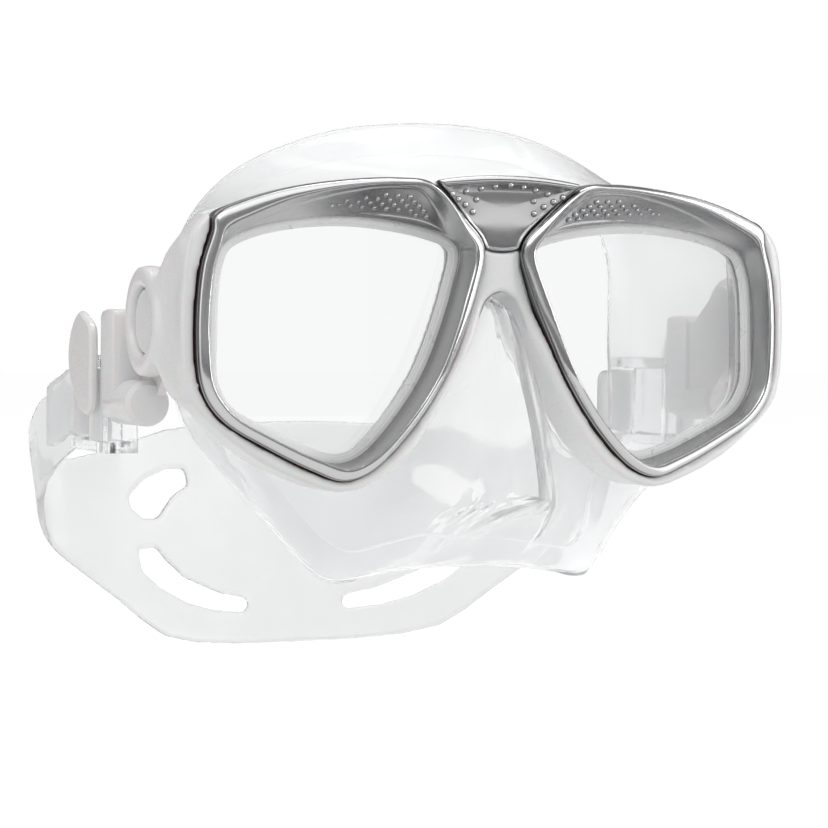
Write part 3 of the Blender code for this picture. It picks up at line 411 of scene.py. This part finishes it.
# The rim's section from its outer wall: the thin flange in millimetres in from the edge
# and back from the crest, then the round bead, as shares of its width.
FLANGE = (
    (0.00, 3.20), (0.00, 2.10), (0.05, 1.96), (0.18, 1.94), (0.24, 2.04), (0.30, 2.06),
)
BEAD = (
    (0.085, 1.75), (0.10, 1.38), (0.13, 1.10), (0.18, 0.87), (0.26, 0.63), (0.37, 0.40),
    (0.49, 0.21), (0.61, 0.08), (0.72, 0.01), (0.82, 0.00), (0.90, 0.09), (0.96, 0.28),
    (1.00, 0.52),
)
LIP_FRONT, LIP_ROUND, LIP_BACK, RIM_BACK = 5.2, 0.25, 6.0, 8.5

# How the section changes round the rim, by station: the bead's width, how far the crest
# falls back, and how much the wall inside the bead lies back as a shelf.  The panel on the
# brow is sunk into the shelf between its top and its foot, as shares of the way down to
# the opening, and a fine line runs along its foot.
BEAD_WIDTH = ((0, 3.4), (1, 3.2), (1.7, 2.2), (2.5, 1.6), (4, 2.0), (5, 3.2), (6, 4.4),
              (7, 4.8), (8, 4.3), (9, 3.4), (10, 3.0), (16, 3.2), (19, 3.6), (21, 3.4))
CREST_FALL = ((0, 2.7), (1, 2.2), (2, -0.1), (2.6, -0.2), (3.2, 0.0), (18, 0.0),
              (19, 0.5), (20, 1.7), (21, 2.7))
SHELF = ((0, 0.25), (1, 0.6), (2, 1.0), (5, 1.0), (7, 0.85), (9, 0.35), (11, 0.0),
         (18, 0.0), (20, 0.08), (21, 0.25))
PANEL_TOP = ((0, 0.85), (1.1, 0.85), (1.4, 0.72), (1.7, 0.52), (2.0, 0.34), (2.3, 0.18),
             (2.7, 0.09), (3.5, 0.08), (4.0, 0.14), (4.5, 0.22), (5.0, 0.33), (5.5, 0.48),
             (6.0, 0.62), (6.5, 0.74), (21, 0.74))
PANEL_FOOT = ((0, 0.87), (1.2, 0.87), (2.2, 0.85), (4.0, 0.88), (5.0, 0.92), (6.5, 0.95),
              (21, 0.95))
PANEL_DEPTH = ((0, 0.0), (1.1, 0.0), (1.5, 0.28), (4.5, 0.28), (6.4, 0.0), (21, 0.0))
LINE_DEPTH = ((0, 0.0), (1.1, 0.0), (1.5, 1.0), (3.2, 1.0), (4.0, 0.0), (21, 0.0))


def along(table, station):
    """The table's value at a station, on a smooth curve that closes on itself."""
    turn = table[-1][0]
    ring = [(table[-2][0] - turn, table[-2][1]), *table, (table[1][0] + turn, table[1][1])]
    k = max(i for i in range(1, len(ring) - 2) if ring[i][0] <= station)
    (a, va), (b, vb), (c, vc), (d, vd) = ring[k - 1:k + 3]
    before, here, after = (vb - va) / (b - a), (vc - vb) / (c - b), (vd - vc) / (d - c)
    leave = 2 * before * here / (before + here) if before * here > 0 else 0.0
    arrive = 2 * here * after / (here + after) if here * after > 0 else 0.0
    t = (station - b) / (c - b)
    return (vb + (vc - vb) * eased(t)
            + (c - b) * t * (1 - t) * (leave * (1 - t) - arrive * t))


def smooth_loop(points, steps):
    """A closed centripetal Catmull-Rom curve with so many steps to a span."""
    count = len(points)
    curve = []
    for i in range(count):
        a, b, c, d = (points[(i + k - 1) % count] for k in range(4))
        t1 = (b - a).length ** 0.5
        t2 = t1 + (c - b).length ** 0.5
        t3 = t2 + (d - c).length ** 0.5
        for k in range(steps):
            t = t1 + (t2 - t1) * k / steps
            ab = a.lerp(b, t / t1)
            bc = b.lerp(c, (t - t1) / (t2 - t1))
            cd = c.lerp(d, (t - t2) / (t3 - t2))
            abc = ab.lerp(bc, t / t2)
            bcd = bc.lerp(cd, (t - t1) / (t3 - t1))
            curve.append(abc.lerp(bcd, (t - t1) / (t2 - t1)))
    return curve


def grown(loop, distance):
    """A flat loop moved outwards by a distance, or by one distance for each point."""
    count = len(loop)
    area = sum(loop[i - 1].x * loop[i].y - loop[i].x * loop[i - 1].y for i in range(count))
    turn = 1 if area > 0 else -1
    moved = []
    for i, point in enumerate(loop):
        step = distance[i] if isinstance(distance, list) else distance
        run = (loop[(i + 1) % count] - loop[i - 1]).normalized()
        moved.append(point + Vector((run.y, -run.x)) * turn * step)
    return moved


def placed(x, depth, z):
    """A point given in millimetres from the lens plane, in the scene's metres."""
    return (Vector((x, depth, z)) + LENS_PLANE) * MM


def stood(loop, depth):
    """A flat loop stood up at a depth, or at one depth for each point."""
    depths = depth if isinstance(depth, list) else [depth] * len(loop)
    return [placed(p.x, y, p.y) for p, y in zip(loop, depths)]


def drawn_out(rings, closed=True):
    """A skin extruded from one ring of points to the next, back to the first if closed."""
    bm = bmesh.new()
    place = bm.verts.layers.int.new("place")
    verts = [bm.verts.new(p) for p in rings[0]]
    for i, vert in enumerate(verts):
        vert[place] = i
    edges = [bm.edges.new((verts[i - 1], verts[i])) for i in range(len(verts))]
    for ring in rings[1:] + ([rings[0]] if closed else []):
        made = bmesh.ops.extrude_edge_only(bm, edges=edges)["geom"]
        edges = [g for g in made if isinstance(g, bmesh.types.BMEdge)]
        for vert in (g for g in made if isinstance(g, bmesh.types.BMVert)):
            vert.co = ring[vert[place]]
    bmesh.ops.remove_doubles(bm, verts=bm.verts, dist=SEAM_GAP * MM)
    bmesh.ops.recalc_face_normals(bm, faces=bm.faces)
    return bm


def on_side(bm, side):
    """The piece as made for the wearer's left, or its mirror image on the right."""
    if side < 0:
        bmesh.ops.scale(bm, vec=(-1, 1, 1), verts=bm.verts)
        bmesh.ops.reverse_faces(bm, faces=bm.faces)
    return bm


def opening_point(across, up):
    """A point of the front, from its shares of the opening's width and height."""
    return Vector((OPENING_CENTRE + (across - 0.5) * OPENING_WIDTH,
                   OPENING_BASE + up * OPENING_HEIGHT))


opening = smooth_loop([opening_point(a, u) for a, u, _, _ in RIM_STATIONS], RIM_STEPS)
rim_edge = smooth_loop([opening_point(a, u) + Vector((x, z)) * RIM_WIDTH
                        for a, u, x, z in RIM_STATIONS], RIM_STEPS)


def crest(x):
    """The front's foremost line, which sweeps back a little towards the temples."""
    return CREST + SWEEP * x * x


def shelf_steps(high, low):
    """The way from the bead down to the opening, in steps.

    Each is a share of the way, how fully the panel is sunk there, and whether that is past
    the fine line at its foot.
    """
    deep = low - high
    return (
        (0.5 * high, 0, 0), (high - 0.02, 0, 0), (high, 0.15, 0), (high + 0.02, 0.9, 0),
        (high + 0.05, 1, 0), (high + 0.3 * deep, 1, 0), (high + 0.65 * deep, 1, 0),
        (low - 0.04, 1, 1), (low - 0.015, 0.9, 1), (low, 0.15, 1), (low + 0.03, 0, 1),
        (0.51 + 0.49 * low, 0, 1), (1.0, 0, 1),
    )


def rim_section(edge, inner, station):
    """The section at a station, from the outer wall over the bead to the rim's lip."""
    reach = (inner - edge).length
    way = (inner - edge) / reach
    top = crest(edge.x) + along(CREST_FALL, station)
    width = min(along(BEAD_WIDTH, station), BEAD_LIMIT * reach)
    section = [(edge, RIM_BACK)]
    section += [(edge + way * inset, top + back) for inset, back in FLANGE]
    section += [(edge + way * width * share, top + back) for share, back in BEAD]
    foot, foot_y = section[-1]
    broad = along(SHELF, station)
    sunk, line = along(PANEL_DEPTH, station), along(LINE_DEPTH, station)
    steps = shelf_steps(along(PANEL_TOP, station), along(PANEL_FOOT, station))
    for share, inside, under in steps:
        fall = share * broad + eased(share) * (1 - broad)
        drop = sunk * (inside + (1 - inside) * under * (1 - line))
        depth = foot_y + (LIP_FRONT - foot_y) * fall + drop
        section.append((foot.lerp(inner, share), depth))
    return section + [(inner, LIP_FRONT + LIP_ROUND), (inner, LIP_BACK)]


def rim_rings():
    """Each ring runs round the rim once, from the outer wall over the bead to the seat."""
    sections = [rim_section(edge, inner, i / RIM_STEPS)
                for i, (edge, inner) in enumerate(zip(rim_edge, opening))]
    rings = [[placed(p.x, y, p.y) for p, y in ring] for ring in zip(*sections)]
    seat = grown(opening, SEAT_REACH)
    return rings + [stood(seat, LIP_BACK), stood(seat, RIM_BACK)]


def painted_wall_shade(material, level, steep=0.2, flat=0.7):
    """Paints shade into the colour of steep walls, which are darkened as if in shadow.

    A wall is steep or flat by how far its normal points to the front or back.
    """
    tree = material.node_tree
    shader = tree.nodes["Principled BSDF"]
    colour = shader.inputs["Base Color"].links[0].from_socket
    facing = tree.nodes.new("ShaderNodeTexCoord")
    split = tree.nodes.new("ShaderNodeSeparateXYZ")
    size = tree.nodes.new("ShaderNodeMath")
    size.operation = "ABSOLUTE"
    ramp = tree.nodes.new("ShaderNodeMapRange")
    ramp.inputs["From Min"].default_value = steep
    ramp.inputs["From Max"].default_value = flat
    ramp.inputs["To Min"].default_value = level
    dim = tree.nodes.new("ShaderNodeMix")
    dim.data_type = "RGBA"
    dim.inputs["A"].default_value = (0.0, 0.0, 0.0, 1.0)
    tree.links.new(facing.outputs["Normal"], split.inputs["Vector"])
    tree.links.new(split.outputs["Y"], size.inputs[0])
    tree.links.new(size.outputs["Value"], ramp.inputs["Value"])
    tree.links.new(ramp.outputs["Result"], dim.inputs["Factor"])
    tree.links.new(colour, dim.inputs["B"])
    tree.links.new(dim.outputs["Result"], shader.inputs["Base Color"])


silver = finish("satin_silver", (0.54, 0.54, 0.545), 0.22, Metallic=1.0)
grain(silver, 0.25 * MM, 0.0035 * MM, 0.03, 0.05)
# Painted shade: the silver's sideways-facing walls get a darker colour.
painted_wall_shade(silver, 0.5)

for word, side in SIDES:
    rim = on_side(drawn_out(rim_rings()), side)
    add_piece(f"silver_rim_{word}", rim, silver, "mask",
              (f"rim_{word}",), levels=1, smooth=50)

# Studs on the brow, in rows that run towards the nose: the first one's place across and
# up, and how many stand in the row.  They grow smaller away from the nose.
STUD_PITCH, STUD_FALL, STUD_RISE = 3.2, 0.125, 0.85
STUD_RADIUS, STUD_SHRINK = 0.86, 0.36
STUDS_NEAR, STUDS_SPAN = 19.7, 25.5
STUD_AROUND, STUD_UP = 14, 8
STUD_ROWS = ((45.2, 50.9, 1), (43.4, 51.1, 7), (41.8, 52.1, 7), (37.0, 52.9, 5),
             (32.1, 53.8, 3), (21.0, 50.3, 1), (22.5, 49.3, 1), (19.7, 49.0, 1))


def add_stud(bm, x, z, radius, surface):
    """A round stud set on a surface, found from the front, with its foot sunk in."""
    start = placed(x, -20.0, z)
    hit, normal, _, _ = surface.ray_cast(start, Vector((0, 1, 0)))
    if hit is None:
        return
    aim = normal.to_track_quat("Z", "Y").to_matrix().to_4x4()
    size = Matrix.Diagonal((radius * MM, radius * MM, STUD_RISE * radius * MM, 1.0))
    bmesh.ops.create_uvsphere(bm, u_segments=STUD_AROUND, v_segments=STUD_UP, radius=1.0,
                              matrix=Matrix.Translation(hit) @ aim @ size)


for word, side in SIDES:
    surface = BVHTree.FromBMesh(on_side(drawn_out(rim_rings()), side))
    studs = bmesh.new()
    for x, z, count in STUD_ROWS:
        for k in range(count):
            across = x - k * STUD_PITCH
            radius = STUD_RADIUS - STUD_SHRINK * (across - STUDS_NEAR) / STUDS_SPAN
            add_stud(studs, side * across, z - k * STUD_FALL, radius, surface)
    add_piece(f"rim_studs_{word}", studs, silver, "mask")


# ---------------------------------------------------------------- bridge clip
# A pressed silver shield holds the two rims together over the bridge.  It has a heavy
# bead along the top, a thin lip round the foot and a row of studs under the bead.

SHOULDER_STATION = RIM_STATIONS[2]
CLIP_SHOULDER = (opening_point(*SHOULDER_STATION[:2])
                 + Vector(SHOULDER_STATION[2:]) * RIM_WIDTH)
CLIP_RISE, CLIP_HEIGHT = 2.1, 18.7
CLIP_TOP = CLIP_SHOULDER.y + CLIP_RISE
CLIP_FOOT = CLIP_TOP - CLIP_HEIGHT
CLIP_GAP, CLIP_BACK = 0.35, 3.0

# The top edge falls away to the sides on a curve, drawn through these shares of the width.
TOP_FALL, TOP_CURVE = 1.89, 2.2
TOP_SHARES = (0.0, 0.1, 0.2, 0.3, 0.4, 0.5, 0.6, 0.7, 0.8, 0.88, 0.94)

# The clip's edge, from its outline inwards: how far in and how far back from the face,
# first for the thin lip at the sides and foot, then for the heavy bead along the top.
CLIP_EDGE = (
    ((0.00, 0.90), (0.00, 1.30)), ((0.04, 0.45), (0.08, 0.80)),
    ((0.14, 0.14), (0.30, 0.44)), ((0.30, 0.04), (0.75, 0.12)),
    ((0.46, 0.05), (1.25, -0.08)), ((0.56, 0.12), (1.62, -0.05)),
    ((0.64, 0.26), (1.86, 0.20)), ((0.72, 0.40), (2.00, 0.46)),
    ((0.88, 0.44), (2.16, 0.52)),
)
BEAD_START, BEAD_BLEND = 4.0, 2.0

# The face comes forward over each ten millimetres of height, from these heights on.
FACE_SPAN = 10.0
FACE_START, FACE_REACH, FACE_CURVE, FACE_SLOPE = 47.0, 5.0, 1.6, 2.0
MIDDLE_START, MIDDLE_REACH, MIDDLE_CURVE = 44.0, 1.6, 2.2
MIDDLE_POINT = Vector((0.0, 51.5))
MIDDLE_SHARES = (0.92, 0.80, 0.68, 0.56, 0.44, 0.32, 0.20, 0.08, 0.0)
FACE_FLOOR = 0.48


def clip_outline():
    """The shield's outline: along the top, down between the rims and round the foot."""
    flank = grown(rim_edge, CLIP_GAP)[:2 * RIM_STEPS]
    flank.reverse()
    top = [Vector((CLIP_SHOULDER.x * share, CLIP_TOP - TOP_FALL * share ** TOP_CURVE))
           for share in TOP_SHARES]
    end = flank[-1]
    foot = [Vector((end.x * math.cos(t), end.y - (end.y - CLIP_FOOT) * math.sin(t)))
            for t in (math.radians(15 * k) for k in range(1, 7))]
    foot[-1].x = 0.0
    half = top + flank + foot
    return half + [Vector((-p.x, p.y)) for p in reversed(half[1:-1])]


def clip_face(z):
    """The face near its edge: flat at the foot, coming forward towards the top."""
    rise = max(0.0, (z - FACE_START) / FACE_SPAN)
    if rise < 1:
        return -FACE_REACH * rise ** FACE_CURVE
    return -FACE_REACH - FACE_SLOPE * (rise - 1)


def clip_middle(z):
    """The middle of the face, hollow, curving evenly from the foot to the top bead."""
    return -MIDDLE_REACH * max(0.0, (z - MIDDLE_START) / FACE_SPAN) ** MIDDLE_CURVE


def clip_rings():
    """Each ring runs round the clip once, from the back over the edge to the middle."""
    edge = clip_outline()
    rings = [stood(edge, CLIP_BACK)]
    for (side_in, side_back), (top_in, top_back) in CLIP_EDGE:
        steps, backs = [], []
        for p in edge:
            top = min(1.0, max(0.0, (p.y - CLIP_TOP + BEAD_START) / BEAD_BLEND))
            steps.append(-(side_in + (top_in - side_in) * top))
            backs.append(side_back + (top_back - side_back) * top)
        flat = grown(edge, steps)
        rings.append(stood(flat, [clip_face(p.y) + back for p, back in zip(flat, backs)]))
    for share in MIDDLE_SHARES:
        ring = [MIDDLE_POINT.lerp(p, share) for p in flat]
        near_edge = share ** 3
        rings.append(stood(ring, [
            clip_face(p.y) * near_edge + clip_middle(p.y) * (1 - near_edge) + FACE_FLOOR
            for p in ring]))
    return rings


def clip_shape():
    """The clip's front skin, its back closed by one flat face."""
    bm = drawn_out(clip_rings(), closed=False)
    back = [e for e in bm.edges if e.is_boundary]
    bmesh.ops.contextual_create(bm, geom=back)
    bmesh.ops.recalc_face_normals(bm, faces=bm.faces)
    return bm


add_piece("silver_clip", clip_shape(), silver, "mask", ("bridge_clip",),
          levels=1, smooth=50)

# The clip's studs: one in the middle of the row, and the others in pairs.
CLIP_STUD_RADIUS = 0.85
CLIP_STUDS = ((0.0, 56.9), (3.9, 56.5), (7.5, 55.9), (11.2, 55.1), (15.2, 54.4),
              (13.1, 53.2), (10.8, 51.9), (8.5, 50.2), (7.9, 53.3))
clip_surface = BVHTree.FromBMesh(clip_shape())
studs = bmesh.new()
for x, z in CLIP_STUDS:
    for side in ((1, -1) if x else (1,)):
        add_stud(studs, side * x, z, CLIP_STUD_RADIUS, clip_surface)
add_piece("clip_studs", studs, silver, "mask")


# ---------------------------------------------------------------- lenses
# Each lens is a flat plate of tempered glass.  It sits in a channel of clear silicone,
# whose stepped front lip shows as a pale line inside the rim.

glass = finish("tempered_glass", (0.96, 0.965, 0.965), 0.0, Transmission_Weight=1.0,
               IOR=1.5)
for word, _ in SIDES:
    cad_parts[f"lens_{word}"].material_slots[0].material = glass

seal = finish("gasket_silicone", (0.93, 0.932, 0.935), 0.30, Transmission_Weight=0.22,
              IOR=1.41)
grain(seal, 5.0 * MM, 0.02 * MM, 0.01, 0.04, 1.0)

# The gasket's section: how far outside the opening, and how far behind the lens plane.
GASKET = (
    (1.35, 6.40), (-0.10, 6.40), (-0.75, 6.32), (-0.85, 6.36), (-0.90, 6.52),
    (-1.00, 6.56), (-1.50, 6.56), (-1.58, 6.60), (-1.62, 6.72), (-1.70, 6.76),
    (-2.15, 6.78), (-2.28, 6.90), (-2.30, 7.12), (0.95, 7.15), (0.95, 11.45),
    (-1.35, 11.45), (-1.35, 11.95), (1.35, 11.95),
)


def lets_light_through(piece):
    """A clear piece throws no shadow of its own: the lamps shine through it."""
    piece.visible_shadow = False


for word, side in SIDES:
    gasket = on_side(drawn_out([stood(grown(opening, out), y) for out, y in GASKET]), side)
    lets_light_through(add_piece(f"clear_gasket_{word}", gasket, seal, "mask",
                                 (f"lens_gasket_{word}",), smooth=50))


# ---------------------------------------------------------------- skirt
# The skirt is one soft moulding of clear silicone that seals on the face, with a pocket
# for the nose and a rolled lip all round.

silicone = finish("clear_silicone", (0.91, 0.913, 0.917), 0.10, Transmission_Weight=0.86,
                  IOR=1.22)
grain(silicone, 12.0 * MM, 0.08 * MM, 0.008, 0.03, 1.0)


def crease_sharp(bm, angle, crease):
    """Keeps the edges that turn by more than an angle crisper under subdivision."""
    layers = bm.edges.layers.float
    layer = layers.get("crease_edge") or layers.new("crease_edge")
    for edge in bm.edges:
        if edge.calc_face_angle(math.pi) > math.radians(angle):
            edge[layer] = crease


skirt = welded("skirt")
crease_sharp(skirt, angle=80, crease=0.6)
lets_light_through(add_piece("silicone_skirt", skirt, silicone, "mask",
                             ("skirt",), levels=2))


# ---------------------------------------------------------------- buckles
# The bracket snaps into the frame's eye and turns there.  The clear body behind it holds
# the lever's pin and the roller that the strap runs round.

clear = finish("clear_polycarbonate", (0.96, 0.965, 0.97), 0.06, Transmission_Weight=0.97,
               IOR=1.5)
grain(clear, 1.2 * MM, 0.02 * MM, 0.01, 0.03)
steel = finish("steel_pin", (0.55, 0.55, 0.56), 0.25, Metallic=1.0)
grain(steel, 0.15 * MM, 0.004 * MM, 0.03, 0.05)

FLAT_ANGLE = math.radians(1.5)


def flat_faced(node):
    """The shape of a CAD node, each of its flat faces made one polygon."""
    bm = welded(node)
    bmesh.ops.dissolve_limit(bm, angle_limit=FLAT_ANGLE, verts=bm.verts, edges=bm.edges)
    return bm


for word, _ in SIDES:
    add_piece(f"bracket_{word}", flat_faced(f"buckle_bracket_{word}"), milky, "strap_loop",
              (f"buckle_bracket_{word}",), bevel=0.25 * MM)
    lets_light_through(
        add_piece(f"clear_body_{word}", flat_faced(f"buckle_body_{word}"), clear,
                  "strap_loop", (f"buckle_body_{word}",), bevel=0.2 * MM))
    add_piece(f"lever_{word}", flat_faced(f"release_lever_{word}"), milky, f"lever_{word}",
              (f"release_lever_{word}",), bevel=0.15 * MM)
    for node, surface in (("strap_roller", milky), ("lever_pin", steel),
                          ("roller_axle", steel)):
        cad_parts[f"{node}_{word}"].material_slots[0].material = surface


# ---------------------------------------------------------------- strap
# The strap is a moulded band of clear silicone.  It splits into two bands round the back
# of the head and narrows on each side to a tail that runs round the roller.

STRAP_CELL = 0.6
band = finish("strap_silicone", (0.80, 0.803, 0.807), 0.20, Transmission_Weight=0.80,
              IOR=1.30)
grain(band, 14.0 * MM, 0.06 * MM, 0.008, 0.04, 1.0)
strap = moulded("strap", STRAP_CELL)
soften(strap, rounds=12)
lets_light_through(add_piece("silicone_strap", strap, band, "strap_loop",
                             ("strap",), smooth=70))
